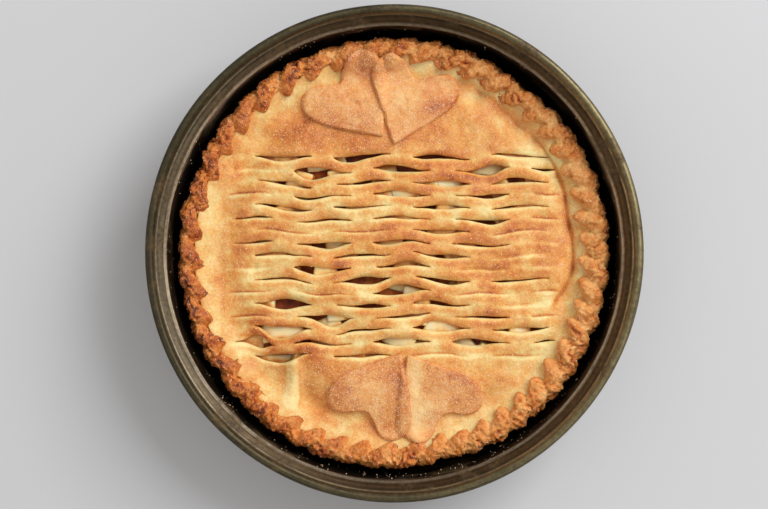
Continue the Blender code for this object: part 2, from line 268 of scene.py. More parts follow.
# %% The section of the tin
TIN_SHEET = 0.001
TIN_FLOOR_RADIUS = 0.1275
TIN_WALL_RADIUS = 0.1290
TIN_CORNER = 0.004
TIN_STEP_HEIGHT = 0.0565
TIN_STEP = ((0.1312, 0.0588), (0.1332, 0.0603), (0.1346, 0.0613))
TIN_STEP_OUTSIDE = (0.1340, 0.0597)
TIN_RADIUS = 0.1405
TIN_HEIGHT = 0.066
TIN_STEPS = 288
BEND = 0.0012
BEND_OUTSIDE = 0.0004
BEAD = 0.0026
WALL_LEAN = TIN_WALL_RADIUS - TIN_FLOOR_RADIUS
WALL_FOOT = TIN_SHEET + TIN_CORNER
WALL_HEIGHT = TIN_STEP_HEIGHT - WALL_FOOT
# How far the tin is out of round: size, number of waves round it, phase.
TIN_WAVES = ((0.00018, 3, 0.6), (0.00012, 5, 2.0))
TIN_DENTS = 0.00010
TIN_MIDDLE_RADIUS = 0.135


def tin_profile():
    bead = (TIN_RADIUS - BEAD, TIN_HEIGHT - BEAD)
    corner = (TIN_FLOOR_RADIUS - TIN_CORNER, WALL_FOOT)
    inner_bend = (TIN_WALL_RADIUS + BEND, TIN_STEP_HEIGHT - BEND / 2)
    outer_bend = (TIN_WALL_RADIUS + TIN_SHEET, TIN_STEP_HEIGHT - BEND)
    outer_radius = TIN_FLOOR_RADIUS + TIN_SHEET
    outer_height = WALL_HEIGHT - 2 * TIN_SHEET
    wall = np.linspace(0.15, 0.94, 8)
    profile = [(r, TIN_SHEET) for r in np.linspace(0.0, corner[0], 12)]
    profile += arc(corner, TIN_CORNER, -80, 0, 6)
    profile += [(TIN_FLOOR_RADIUS + WALL_LEAN * t, WALL_FOOT + WALL_HEIGHT * t) for t in wall]
    profile += arc(inner_bend, BEND, 178, 132, 5)
    profile += TIN_STEP
    profile += arc(bead, BEAD, 215, -115, 24)
    profile += [TIN_STEP_OUTSIDE]
    profile += arc(outer_bend, BEND_OUTSIDE, 120, 0, 3)
    profile += [(outer_radius + WALL_LEAN * t, WALL_FOOT + outer_height * t) for t in wall[::-1]]
    profile += arc(corner, TIN_CORNER + TIN_SHEET, 0, -90, 6)
    profile += [(r, 0.0) for r in np.linspace(corner[0], 0.0, 12)[1:]]
    return profile


print("points in the tin's section:", len(tin_profile()))

# %% [markdown]
# The section is turned, then the wall is pushed in and out by less than half a millimetre,
# because a tin that has been used for years isn't a perfect circle.

# %% The tin
tin = turned("tin_sheet", tin_profile(), TIN_STEPS)
tin_points = read(tin.data)
angles = np.arctan2(tin_points[:, 1], tin_points[:, 0])
wavy = sum(size * np.sin(waves * angles + phase) for size, waves, phase in TIN_WAVES)
wavy += TIN_DENTS * bumps(np.c_[np.cos(angles), np.sin(angles), 12 * tin_points[:, 2]], 0.30, 1)
share = smooth_step(tin_points[:, 2], 0.004, 0.060)
tin_points[:, :2] *= (1.0 + wavy * share / TIN_MIDDLE_RADIUS)[:, None]
move(tin.data, tin_points)
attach(tin, "root")
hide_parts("tin")
print("tin faces:", len(tin.data.polygons))

# %% [markdown]
# The wear on the tin runs round it, from years of wiping and stacking. So its noise is read
# in coordinates that follow the circle, and is stretched along it.

# %% Coordinates round the tin
def around(tree, along, across):
    """Coordinates that follow the circle: stretched along it, fine across it."""
    place = add_node(tree, "ShaderNodeTexCoord", out="Object")
    split = add_node(tree, "ShaderNodeSeparateXYZ", {0: place}).node
    x, y, z = split.outputs
    square = sums(tree, "ADD", sums(tree, "MULTIPLY", x, x), sums(tree, "MULTIPLY", y, y))
    radius = sums(tree, "SQRT", square, 0.0)
    side = sums(tree, "DIVIDE", x, radius)
    sockets = {"X": sums(tree, "MULTIPLY", side, along)}
    sockets["Y"] = sums(tree, "MULTIPLY", sums(tree, "DIVIDE", y, radius), along)
    sockets["Z"] = sums(tree, "MULTIPLY", sums(tree, "ADD", radius, z), across)
    return add_node(tree, "ShaderNodeCombineXYZ", sockets), place, radius, side


# %% [markdown]
# Years of baking turned the steel dark: brown where fat has burnt on, rubbed bright at the
# two bends of the edge, with painted highlights there too. A ramp over the radius says how
# bright each ring of the edge is. Round the ledge the tint changes, from bluish on the left
# to tan on the right. That tint, and the ledge and roll lit more on one side, are painted light.

# %% The finish of the tin
# Each ring: radius and colour. The bright rings at the bends are wear and painted highlights.
RINGS = (
    (0.1280, (26, 20, 13)), (0.1289, (40, 33, 24)), (0.1293, (150, 143, 128)),
    (0.1303, (134, 126, 110)), (0.1309, (78, 62, 42)), (0.1325, (88, 74, 54)),
    (0.1341, (64, 49, 32)), (0.1349, (122, 113, 92)), (0.1356, (70, 61, 42)),
    (0.1385, (84, 77, 55)), (0.1405, (56, 48, 32)),
)
# The ledge is painted bluish on the left and tan on the right, as painted light by side,
# and the bends are a warm grey.
COOL = (1.0, 1.12, 1.25, 1.0)
TAN = (1.0, 0.78, 0.51, 1.0)
WARM_GREY = (1.0, 0.97, 0.92, 1.0)


def tin_finish():
    material, tree, shader = recipe("dark_tin_steel")
    rings, place, radius, side = around(tree, 3.0, 900.0)
    streaks = noise_value(tree, rings, 1.0, 4.0, 0.65)
    patches = noise_value(tree, place, 45.0, 4.0, 0.6)
    specks = noise_value(tree, place, 420.0, 3.0, 0.65)
    low, high = RINGS[0][0], RINGS[-1][0]
    wander = sums(tree, "MULTIPLY_ADD", sums(tree, "SUBTRACT", patches, 0.5), 0.0010, radius)
    share = grey_ramp(tree, wander, ((low, 0.0), (high, 1.0)))
    worn = ramp(tree, share, [((r - low) / (high - low), colour) for r, colour in RINGS])
    shade = sums(tree, "MULTIPLY_ADD", streaks, 0.8, sums(tree, "MULTIPLY", specks, 0.5))
    shade = grey_ramp(tree, shade, ((0.42, 0.35), (0.88, 1.6)))
    base = add_node(tree, "ShaderNodeVectorMath", {0: worn, "Scale": shade}, operation="SCALE")
    burnt = grey_ramp(tree, patches, ((0.53, 0.0), (0.63, 1.0)))
    # Painted light: the ledge is brighter on the left, where it faces the light, the roll on the right.
    ledge = grey_ramp(tree, side, ((-1.0, 1.60), (-0.1, 0.64)))
    ledge = sums(tree, "ADD", ledge, grey_ramp(tree, side, ((0.3, 0.0), (1.0, 0.40))))
    roll = grey_ramp(tree, side, ((-1.0, 0.70), (0.0, 1.12)))
    roll = sums(tree, "ADD", roll, grey_ramp(tree, side, ((0.1, 0.0), (1.0, 1.55))))
    on_roll = grey_ramp(tree, radius, ((0.1346, 0.0), (0.1353, 1.0)))
    scale = sums(tree, "MULTIPLY_ADD", on_roll, sums(tree, "SUBTRACT", roll, ledge), ledge)
    # Painted highlights on the inner bend, strongest at the left and right of the tin.
    bend_highlight_by_side = sums(tree, "MULTIPLY_ADD", sums(tree, "MULTIPLY", side, side), 0.8, 0.45)
    on_bend = grey_ramp(tree, radius, ((0.1302, 1.0), (0.1307, 0.0)))
    scale = sums(tree, "MAXIMUM", scale, sums(tree, "MULTIPLY", on_bend, bend_highlight_by_side))
    base = add_node(tree, "ShaderNodeVectorMath", {0: base, "Scale": scale}, operation="SCALE")
    # Painted light: the ledge's tint goes from bluish on the left to tan on the right.
    to_right = grey_ramp(tree, side, ((-0.9, 0.0), (0.0, 1.0)))
    ledge_light_tint = blend(tree, to_right, COOL, TAN)
    tint = blend(tree, sums(tree, "MAXIMUM", on_roll, on_bend), ledge_light_tint, WARM_GREY)
    base = add_node(tree, "ShaderNodeVectorMath", {0: base, 1: tint}, operation="MULTIPLY")
    rust = ramp(tree, specks, ((0.3, (44, 30, 14)), (0.7, (104, 80, 40))))
    base = blend(tree, sums(tree, "MULTIPLY", burnt, 0.7), base, rust)
    rough = grey_ramp(tree, streaks, ((0.35, 0.34), (0.65, 0.56)))
    rough = sums(tree, "ADD", rough, sums(tree, "MULTIPLY", burnt, 0.18))
    relief = sums(tree, "MULTIPLY_ADD", streaks, 0.5, sums(tree, "MULTIPLY", specks, 0.4))
    metal = grey_ramp(tree, burnt, ((0.0, 0.75), (1.0, 0.35)))
    sockets = {"Base Color": base, "Roughness": rough, "Metallic": metal}
    sockets["Normal"] = bump(tree, relief, 0.4, 0.0003)
    fill(tree, shader, sockets)
    return material


tin.data.materials.clear()
tin.data.materials.append(tin_finish())

# %% [markdown]
# The shape of the lid comes first, because the apples lie under it and the hearts lie on it.
# It is a low dome with a moat inside the rim. These are the numbers of the CAD part, but for
# the dough, which is a little thinner here so that the apples lie close under the slits.

# %% The bed of the pie
LID_RADIUS = 0.1125
LID_THICKNESS = 0.0026
LID_MIDDLE = 0.0428
LID_FALL = 0.0040
SWELLS = ((0.0006, 0.041, 0.9, 0.4), (0.0005, 0.029, 2.3, 1.9), (0.0004, 0.035, -0.6, 4.0))
# The moat is deepest at this radius. To the right it lies further out and is narrower.
MOAT_RADIUS = 0.1000
MOAT_SHIFT = 0.0022
MOAT_DEPTH = 0.0026
MOAT_WIDTH = 0.0068
MOAT_NARROWING = 0.0020
HOLLOWS = ((-0.078, -0.076, 0.009, 0.0026), (-0.045, -0.087, 0.010, 0.0024))


def lid_height(x, y):
    """Height of the lid's upper face, before the slits are cut."""
    radius = np.maximum(np.hypot(x, y), 1e-6)
    side = x / radius
    moat = bell((radius - MOAT_RADIUS - MOAT_SHIFT * side) / (MOAT_WIDTH - MOAT_NARROWING * side))
    height = LID_MIDDLE - LID_FALL * (radius / LID_RADIUS) ** 2 - MOAT_DEPTH * moat
    for size, length, direction, phase in SWELLS:
        along = x * math.cos(direction) + y * math.sin(direction)
        fade = 1.0 - (radius / LID_RADIUS) ** 4
        height = height + size * fade * np.sin(math.tau * along / length + phase)
    for hollow_x, hollow_y, reach, depth in HOLLOWS:
        away = np.hypot(x - hollow_x, y - hollow_y) / reach
        height = height - depth * bell(away)
    return height


print("lid height in the middle, mm:", round(1000 * float(lid_height(0.0, 0.0)), 1))

# %% [markdown]
# The apples were cut into chunks and piled in. Only what lies under a slit shows: pale
# chunks with straight cuts, softened by the oven, and brown syrup in the gaps between them.
# Each chunk is a box with uneven sides and bevelled corners, and its faces are cut up so
# that noise can bend them later.

# %% One piece of apple
PIECE_SIZE = (0.0255, 0.0175, 0.0120)
PIECE_SPACING = (0.0225, 0.0165)
PIECE_REACH = (0.103, 0.070)
PIECE_LIMIT = 0.100
UNDER_LID = LID_THICKNESS + 0.0002
DARK_REACH = 0.0085
# Where the photo shows deep brown syrup between the chunks.
DARK_GAPS = (
    (-0.0138, 0.0570), (0.0081, 0.0530), (0.0240, 0.0455), (0.0524, 0.0220), (0.0600, 0.0070),
    (-0.0115, -0.0160), (-0.0035, -0.0253), (-0.0656, -0.0270), (-0.0495, -0.0386),
    (-0.0138, -0.0506), (0.0524, -0.0518), (0.0282, -0.0167), (0.0737, -0.0161),
)


def apple_piece(x, y, turn, lift, draw):
    """One chunk of apple, under the lid at x, y."""
    bm = bmesh.new()
    bmesh.ops.create_cube(bm, size=1.0)
    size = [side * draw.uniform(0.75, 1.12) for side in PIECE_SIZE]
    for vertex in bm.verts:
        for axis in range(3):
            vertex.co[axis] *= size[axis] * draw.uniform(0.86, 1.06)
    bmesh.ops.bevel(bm, geom=bm.edges, offset=0.0016, segments=3, profile=0.6, affect="EDGES")
    long_edges = [edge for edge in bm.edges if edge.calc_length() > 0.004]
    bmesh.ops.subdivide_edges(bm, edges=long_edges, cuts=4, use_grid_fill=True)
    tilt = Matrix.Rotation(draw.uniform(-0.22, 0.22), 4, "X")
    tilt = tilt @ Matrix.Rotation(draw.uniform(-0.22, 0.22), 4, "Y")
    bm.transform(Matrix.Rotation(turn, 4, "Z") @ tilt)
    under = float(lid_height(x, y)) - UNDER_LID
    top = max(vertex.co.z for vertex in bm.verts)
    bm.transform(Matrix.Translation((x, y, under - top - lift)))
    mesh = bpy.data.meshes.new("chunk")
    bm.to_mesh(mesh)
    bm.free()
    return mesh


print("a piece of apple, mm:", [round(1000 * side, 1) for side in PIECE_SIZE])

# %% [markdown]
# The chunks lie in staggered rows under the lid, each turned and shifted by a seeded draw.
# None is laid where the photo shows syrup. All the chunks are one mesh, and noise and the
# underside of the lid give it its last shape.

# %% The apples under the lid
bm = bmesh.new()
draw = random.Random(5)
rows = math.ceil(2 * PIECE_REACH[1] / PIECE_SPACING[1])
columns = math.ceil(2 * PIECE_REACH[0] / PIECE_SPACING[0])
for row in range(rows):
    for column in range(columns):
        x = -PIECE_REACH[0] + (column + 0.25 + 0.5 * (row % 2)) * PIECE_SPACING[0]
        y = -PIECE_REACH[1] + (row + 0.5) * PIECE_SPACING[1]
        x += draw.uniform(-0.004, 0.004)
        y += draw.uniform(-0.003, 0.003)
        turn = draw.uniform(-0.6, 0.6) + (math.pi / 2 if draw.random() < 0.3 else 0.0)
        lift = draw.uniform(0.0, 0.0011)
        dark = any(math.dist((x, y), spot) < DARK_REACH for spot in DARK_GAPS)
        if math.hypot(x, y) < PIECE_LIMIT and not dark:
            chunk = apple_piece(x, y, turn, lift, draw)
            bm.from_mesh(chunk)
            bpy.data.meshes.remove(chunk)
mesh = bpy.data.meshes.new("apple_chunks")
bm.to_mesh(mesh)
bm.free()
apples = add_object("apple_chunks", mesh)
points = read(mesh)
points += 0.0005 * bumps(points, 0.006, 3, 2)[:, None] * read(mesh, "normal")
highest = lid_height(points[:, 0], points[:, 1]) - UNDER_LID
points[:, 2] = np.minimum(points[:, 2], highest)
move(mesh, points)
mesh.shade_smooth()
print("points of the apple pieces:", len(points))

# %% [markdown]
# The syrup is a turned cake of the case's inner size, a little lower than the apples. Its
# top is uneven, as syrup is that has boiled up and set.

# %% The syrup
SYRUP_SECTION = (
    (0.0, 0.0332), (0.040, 0.0330), (0.080, 0.0318), (0.108, 0.0300), (0.1148, 0.0270),
    (0.1148, 0.0060), (0.080, 0.0058), (0.0, 0.0058),
)
syrup = turned("apple_syrup", spline(SYRUP_SECTION, 0.003), 160)
points = read(syrup.data)
top = smooth_step(points[:, 2], 0.020, 0.028)
points[:, 2] += top * (0.0016 * bumps(points, 0.012, 4, 2) - 0.0012)
move(syrup.data, points)
for piece in (apples, syrup):
    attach(piece, "root")
    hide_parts("apple_filling")
print("apple faces:", len(apples.data.polygons), "syrup faces:", len(syrup.data.polygons))

# %% [markdown]
# Cooked apple is pale and a little see-through, so light goes into it and comes out warm.
# It is yellower where syrup has soaked in, and browner where the number "wet_and_shade" on
# its vertices says so, which is worked out once the lid is there: that brown is partly syrup
# and partly painted shade. The syrup is dark and moist.

# %% The finishes of the filling
APPLE_STOPS = (
    (0.28, (255, 232, 188)), (0.48, (255, 219, 162)), (0.64, (250, 188, 106)),
    (0.80, (214, 130, 52)),
)


def apple_finish():
    material, tree, shader = recipe("soft_apple")
    place = add_node(tree, "ShaderNodeTexCoord", out="Object")
    soaked = noise_value(tree, place, 85.0, 3.0)
    fibre = noise_value(tree, place, 600.0, 3.0)
    wet_and_shade = add_node(tree, "ShaderNodeAttribute", out="Fac", attribute_name="wet_and_shade")
    browner = sums(tree, "MULTIPLY_ADD", wet_and_shade, 0.28, soaked)
    colour = ramp(tree, browner, APPLE_STOPS)
    relief = sums(tree, "ADD", sums(tree, "MULTIPLY", soaked, 0.4), sums(tree, "MULTIPLY", fibre, 0.6))
    sockets = {"Base Color": colour, "Roughness": grey_ramp(tree, fibre, ((0.3, 0.28), (0.7, 0.50)))}
    sockets |= {"Subsurface Weight": 0.6, "Subsurface Scale": 0.006}
    sockets["Subsurface Radius"] = (1.0, 0.55, 0.2)
    sockets["Normal"] = bump(tree, relief, 0.3, 0.0004)
    fill(tree, shader, sockets)
    return material


def syrup_finish():
    material, tree, shader = recipe("brown_syrup")
    place = add_node(tree, "ShaderNodeTexCoord", out="Object")
    depth = noise_value(tree, place, 120.0, 4.0)
    colour = ramp(tree, depth, ((0.32, (100, 34, 4)), (0.52, (156, 68, 14)), (0.70, (212, 122, 40))))
    sockets = {"Base Color": colour, "Roughness": grey_ramp(tree, depth, ((0.3, 0.45), (0.7, 0.65)))}
    sockets["Specular IOR Level"] = 0.3
    sockets["Normal"] = bump(tree, depth, 0.4, 0.0012)
    fill(tree, shader, sockets)
    return material


apples.data.materials.append(apple_finish())
syrup.data.materials.clear()
syrup.data.materials.append(syrup_finish())

# %% [markdown]
# The case is turned too, from its floor up the wall and over the rim. Then the rim is
# crimped: a thumb pinched it all the way round, which left slanting folds. In the angle
# round the pie a fold rises slowly and drops fast, most of all on the inside, and its phase
# shifts from the outside to the inside, which makes it slant. Baking cracked it all over.

# %% The crimped case
CRIMPS = 48
CRIMP_SLANT = 0.65
RIM_MIDDLE = (0.1172, 0.0400)
RIM_WIDENING = 0.0018
# Dents in the rim: degrees round the pie, depth, and reach in degrees.
RIM_DENTS = ((52, 0.0030, 9), (158, 0.0020, 5), (216, 0.0022, 6), (284, 0.0024, 5))
CASE_SECTION = (
    (0.0, 0.0053), (0.060, 0.0053), (0.1120, 0.0053), (0.1155, 0.0085), (0.1172, 0.0240),
    (0.1172, 0.0325), (0.1150, 0.0342), (0.1142, 0.0370), (0.1116, 0.0388), (0.1110, 0.0404),
    (0.1121, 0.0432), (0.1146, 0.0455), (0.1178, 0.0464), (0.1208, 0.0453), (0.1226, 0.0425),
    (0.1232, 0.0393), (0.1226, 0.0355), (0.1216, 0.0320), (0.1208, 0.0180), (0.1196, 0.0030),
    (0.1170, 0.0013), (0.060, 0.0013), (0.0, 0.0013),
)
CASE_STEPS = 1080


def case_line():
    """The section cut finely where it shows, on the rim and the upper wall."""
    line = spline(CASE_SECTION, 0.0008)
    kept = [line[0]]
    for r, z in line[1:-1]:
        spacing = 0.0006 if z > 0.034 and r > 0.107 else 0.0040
        if math.dist((r, z), kept[-1]) >= spacing:
            kept.append((r, z))
    return kept + [line[-1]]


def rim_dent(angle):
    dent = 0.0 * angle
    for degrees, depth, reach in RIM_DENTS:
        away = (np.degrees(angle) - degrees + 180) % 360 - 180
        dent += depth * bell(away / reach)
    return dent


case = turned("crimped_pastry_case", case_line(), CASE_STEPS)
points = read(case.data)
radius = np.maximum(np.hypot(points[:, 0], points[:, 1]), 1e-6)
angle = np.arctan2(points[:, 1], points[:, 0])
around_rim = np.arctan2(points[:, 2] - RIM_MIDDLE[1], radius - RIM_MIDDLE[0])
inward = np.clip(around_rim / math.pi, -0.25, 1.0)
inner = np.clip(inward, 0.0, 1.0)
uneven = 0.35 * np.sin(7 * angle + 1.3) + 0.25 * np.sin(13 * angle + 4.0)
crowding = 6.0 * np.sin(angle - math.radians(340))
turn = CRIMPS * angle + crowding - CRIMP_SLANT * math.tau * inward + uneven

# %% [markdown]
# A number from 0 to 1 runs along each crimp. Raised to a power it reaches its middle late,
# so a sine over it gives a hump that leans. Every crimp also gets its own strength. Then
# cracks, flakes and crumb are laid over the folds.

# %% The folds of the rim
CRIMP_REACH = 0.0027
CRIMP_REACH_INSIDE = 0.0034
CRACK_DEPTH = 0.0016
CRUMB_HEIGHT = 0.0011
along_crimp = np.mod((turn + math.pi / 2) / math.tau, 1.0)
fold = np.sin(math.pi * along_crimp ** (1.15 + 0.45 * inner)) ** (0.72 + 0.15 * inner)
number = np.floor((turn + math.pi / 2) / math.tau)
habit = 0.70 + 0.60 * np.modf(np.abs(np.sin(number * 12.9898) * 43758.5453))[0]
rim = smooth_step(points[:, 2], 0.0325, 0.0385)
outer_or_high = smooth_step(radius, 0.1142, 0.1150) + smooth_step(points[:, 2], 0.0382, 0.0395)
rim *= np.clip(outer_or_high, 0.0, 1.0)
level = np.cos(around_rim)
out = np.c_[np.cos(angle) * level, np.sin(angle) * level, np.sin(around_rim)]
size = CRIMP_REACH + CRIMP_REACH_INSIDE * smooth_step(inner, 0.45, 1.0)
lip = smooth_step(inner, 0.72, 0.95)
reach = size * habit * (fold - 0.60 + 0.12 * np.maximum(np.cos(angle), 0.0) * lip) * rim
gaps = np.abs(bumps(points, 0.0085, 19, 2))
cracks = -CRACK_DEPTH * bell(gaps / 0.09) * smooth_step(bumps(points, 0.020, 20), -0.1, 0.35)
torn = ridges(points, 0.0050, 6) + ridges(points, 0.0025, 7)
flakes = (1.0 - 0.88 * lip) * CRUMB_HEIGHT * torn
lumps = CRUMB_HEIGHT * bumps(points, 0.007, 8, 2)
points += out * (reach + (cracks + flakes + lumps) * rim)[:, None]
points[:, 2] += 0.40 * np.maximum(reach, 0.0) * lip
wall = smooth_step(radius, 0.1190, 0.1205) * (1.0 - rim)
points += out * (0.0004 * bumps(points, 0.006, 9, 3) * wall)[:, None]
shift = -RIM_WIDENING * np.cos(angle) * inner - rim_dent(angle) * (1.0 - inner)
points[:, :2] *= (1.0 + shift * rim / radius)[:, None]
move(case.data, points)
print("crimps:", CRIMPS, "strongest, mm:", round(1000 * float((size * habit).max()), 1))

# %% [markdown]
# The rim is brownest where it stands out, and paler inside, against the lid. Its cracks and the
# hollows between flakes are painted darker as shade, the crests of the flakes paler as painted
# highlights. The right side, towards the light, is painted paler than the left: partly browning,
# partly painted light.

# %% How brown the rim is, with painted light and shade
browned_and_shade = 0.50 + 0.20 * (fold - 0.5) * rim + 0.16 * bumps(points, 0.009, 10, 2)
# Painted light: paler on the right, towards the light, and browner on the left.
browned_and_shade -= 0.15 * np.cos(angle)
# Painted shade in the cracks and between the flakes, painted highlights on the flakes' crests.
browned_and_shade += (30.0 * lumps - 60.0 * flakes - 230.0 * cracks) * rim
browned_and_shade += 0.06 * smooth_step(radius, 0.118, 0.123)
browned_and_shade -= 0.40 * smooth_step(inner, 0.88, 1.0) * smooth_step(-points[:, 2], -0.0405, -0.0390)
browned_and_shade += 0.06 * np.cos(angle) * smooth_step(-inner, -0.6, -0.2)
store(case.data, "bake_and_shade", browned_and_shade)
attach(case, "root")
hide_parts("pastry_case")
print("case faces:", len(case.data.polygons))

# %% [markdown]
# A roller cutter leaves rows of short slits, each row half a step on from the last. When
# the dough is laid over the apples it stretches, and the slits open where it is pulled most.
# So the lid is a flat grid whose rows follow the slits. It is split along each slit, the two
# lips are pushed apart, and the push dies away over the next rows, which is what makes the
# strands wave round every opening.

# %% The slits
SLIT_PITCH = 0.00708
SLIT_TOP = 0.0550
SLIT_PERIOD = 0.0455
COLUMN = SLIT_PERIOD / 8
SLIT_LENGTH = 6 * COLUMN
SLIT_START = -0.0806
SLIT_LEFT = -0.0955
SLIT_RIGHT = 0.0958
SLIT_LIMIT = 0.1055
# How far each slit gapes, in millimetres: a row of slits each, from left to right. A 1 is
# a slit that closed again in the oven and left a groove, painted brown as the shade in it.
OPENINGS = (
    "3432", "17462", "3243", "12431", "3232", "22231", "1131", "24321", "2231",
    "15311", "2532", "11611", "6331", "17221", "7263", "72542", "5211",
)
SLIT_ROWS = len(OPENINGS)
PUSH_REACH = SLIT_PITCH / math.log(1 / 0.55)
PUSH_FADE = 0.012
# The rows sway a little: size, length of a wave, how it changes from row to row, phase.
SWAYS = ((0.0009, 0.083, 18.0, 1.1), (0.0005, 0.037, 55.0, 0.3))


def slits_of(row):
    """The slits of a row: first and last x, half the opening, and how it leans and is skewed."""
    y = SLIT_TOP - SLIT_PITCH * row
    room = math.sqrt(SLIT_LIMIT**2 - y**2)
    low, high = max(SLIT_LEFT, -room), min(SLIT_RIGHT, room)
    found = []
    for number, opening in enumerate(OPENINGS[row]):
        start = SLIT_START + (number - (row % 2) / 2) * SLIT_PERIOD
        first, last = max(start, low), min(start + SLIT_LENGTH, high)
        half = max(0.0, 1.15 * int(opening) - 1.2) / 2000
        lean, bias, skew = [draw.uniform(-1.0, 1.0) for _ in range(3)]
        found.append((first, last, half, lean, 0.7 * bias, math.exp(0.6 * skew)))
    return found


def sway(x, y):
    """How far the sheet has crept up or down here."""
    crept = 0.0
    for size, length, change, phase in SWAYS:
        crept += size * np.sin(math.tau * x / length + change * y + phase)
    return crept


draw = random.Random(31)
slits = [slits_of(row) for row in range(SLIT_ROWS)]
print("slits:", sum(len(row) for row in slits))


# %% [markdown]
# The grid is built flat. Its rows of points are set so that a slit always falls on one, and
# there every point is made twice: the upper faces join one of the two, the lower faces the
# other, so the sheet can part.

# %% The flat sheet
SHEET_RADIUS = 0.1152
CELL = 0.0019
ROWS_PER_SLIT = 4


def halves(x, row):
    """How far the upper and the lower lip of a row stand back at each x, their lean, the cut."""
    up, down, lean, cut = np.zeros((4, *x.shape))
    for first, last, half, tilt, bias, skew in slits[row]:
        inside = (x > first) & (x < last)
        hump = np.sin(np.pi * np.clip((x - first) / (last - first), 0.0, 1.0) ** skew)
        up = np.where(inside, half * (1.0 + bias) * hump**1.9, up)
        down = np.where(inside, half * (1.0 - bias) * hump**1.9, down)
        lean = np.where(inside, tilt * hump, lean)
        cut = np.where(inside, hump**0.6, cut)
    return up, down, lean, cut


def lid_grid():
    """Points and faces of the flat sheet. A point below a slit has a z just under 0."""
    across = np.arange(-SHEET_RADIUS, SHEET_RADIUS + CELL, CELL)
    bottom = SLIT_TOP - SLIT_PITCH * (SLIT_ROWS - 1)
    above = np.linspace(SHEET_RADIUS, SLIT_TOP, round((SHEET_RADIUS - SLIT_TOP) / CELL), endpoint=False)
    middle = np.linspace(SLIT_TOP, bottom, ROWS_PER_SLIT * (SLIT_ROWS - 1) + 1)
    below = np.linspace(bottom, -SHEET_RADIUS, round((SHEET_RADIUS + bottom) / CELL) + 1)[1:]
    down = np.concatenate((above, middle, below))
    places, upper, lower = [], [], []
    for number, y in enumerate(down):
        slit = (number - len(above)) / ROWS_PER_SLIT
        cut = slit == int(slit) and 0 <= slit < SLIT_ROWS
        half = sum(halves(across, int(slit))[:2]) if cut else np.zeros_like(across)
        top_row, low_row = [], []
        for x, opening in zip(across, half):
            places.append((x, y, 1e-7 if opening > 1e-5 else 0.0))
            top_row.append(len(places) - 1)
            if opening > 1e-5:
                places.append((x, y, -1e-7))
            low_row.append(len(places) - 1)
        upper.append(top_row)
        lower.append(low_row)
    faces = []
    for row in range(len(down) - 1):
        for column in range(len(across) - 1):
            if math.hypot(across[column] + CELL / 2, (down[row] + down[row + 1]) / 2) < SHEET_RADIUS:
                ends = (upper[row + 1][column], upper[row + 1][column + 1])
                faces.append((lower[row][column], ends[0], ends[1], lower[row][column + 1]))
    return np.array(places), faces


# %% [markdown]
# Each lip is pushed away from its slit. The push is full at the slit, and over the next rows
# it dies away. The same numbers also say how the lips bend down into the slit, and where a
# shut slit leaves a groove.

# %% How the slits open
def push_apart(rest):
    """Where each point of the sheet goes when the slits open."""
    x, y = rest[:, 0], rest[:, 1] + rest[:, 2]
    either_lip = np.c_[x, y + 0.004 * np.sign(rest[:, 2]), 0.0 * x]
    push = sway(x, y) + 0.0005 * bumps(either_lip, 0.011, 21, 2)
    for row in range(SLIT_ROWS):
        from_slit = y - (SLIT_TOP - SLIT_PITCH * row)
        up, down, _, _ = halves(x, row)
        push += np.where(from_slit > 0, up, -down) * np.exp(-np.abs(from_slit) / PUSH_REACH)
    room = np.clip((LID_RADIUS - np.hypot(x, rest[:, 1])) / PUSH_FADE, 0.0, 1.0)
    return rest[:, 1] + push * room


def strand_relief(x, y):
    """The height that the slits add, and how much is an upper lip, a lower lip or a groove."""
    relief, upper, lower, groove = np.zeros((4, *x.shape))
    for row in range(SLIT_ROWS):
        from_slit = y - (SLIT_TOP - SLIT_PITCH * row)
        up, down, lean, cut = halves(x, row)
        half = (up + down) / 2
        lip = cut * bell(from_slit / 0.0018)
        relief -= lip * (0.0006 + np.minimum(1.5 * half, 0.0015))
        tilt = lean * (0.0005 + 0.32 * half) * np.sign(from_slit)
        relief += tilt * np.exp(-np.abs(from_slit) / 0.003)
        upper = np.maximum(upper, lip * (from_slit > 0))
        lower = np.maximum(lower, lip * (from_slit < 0))
        groove = np.maximum(groove, cut * (half < 0.0001) * bell(from_slit / 0.0007))
    return relief, upper, lower, groove


# %% [markdown]
# Between the slats and the rim the dough sank. On the right it folded into a crease, drawn
# here as radii at a few angles, and at the lower left a narrow ridge stayed up between two
# hollows. Both are too fine for the CAD part.

# %% Creases and ridges of the dough
# The crease's path: degrees round the pie, and radius.
CREASE = (
    (-24, 0.0960), (-16, 0.0977), (-11, 0.1012), (-5, 0.1042), (-1, 0.1039), (5, 0.1033),
    (12, 0.1025), (20, 0.1048), (30, 0.1058), (38, 0.1052), (47, 0.1030), (59, 0.1056),
    (70, 0.1066),
)
CREASE_DEPTH = 0.0026
CREASE_WIDTH = 0.0013
# The ridge at the lower left and the dip beside it: x, reach and height.
RIDGE = ((-0.0580, 0.0040, 0.0022), (-0.0515, 0.0042, -0.0013))


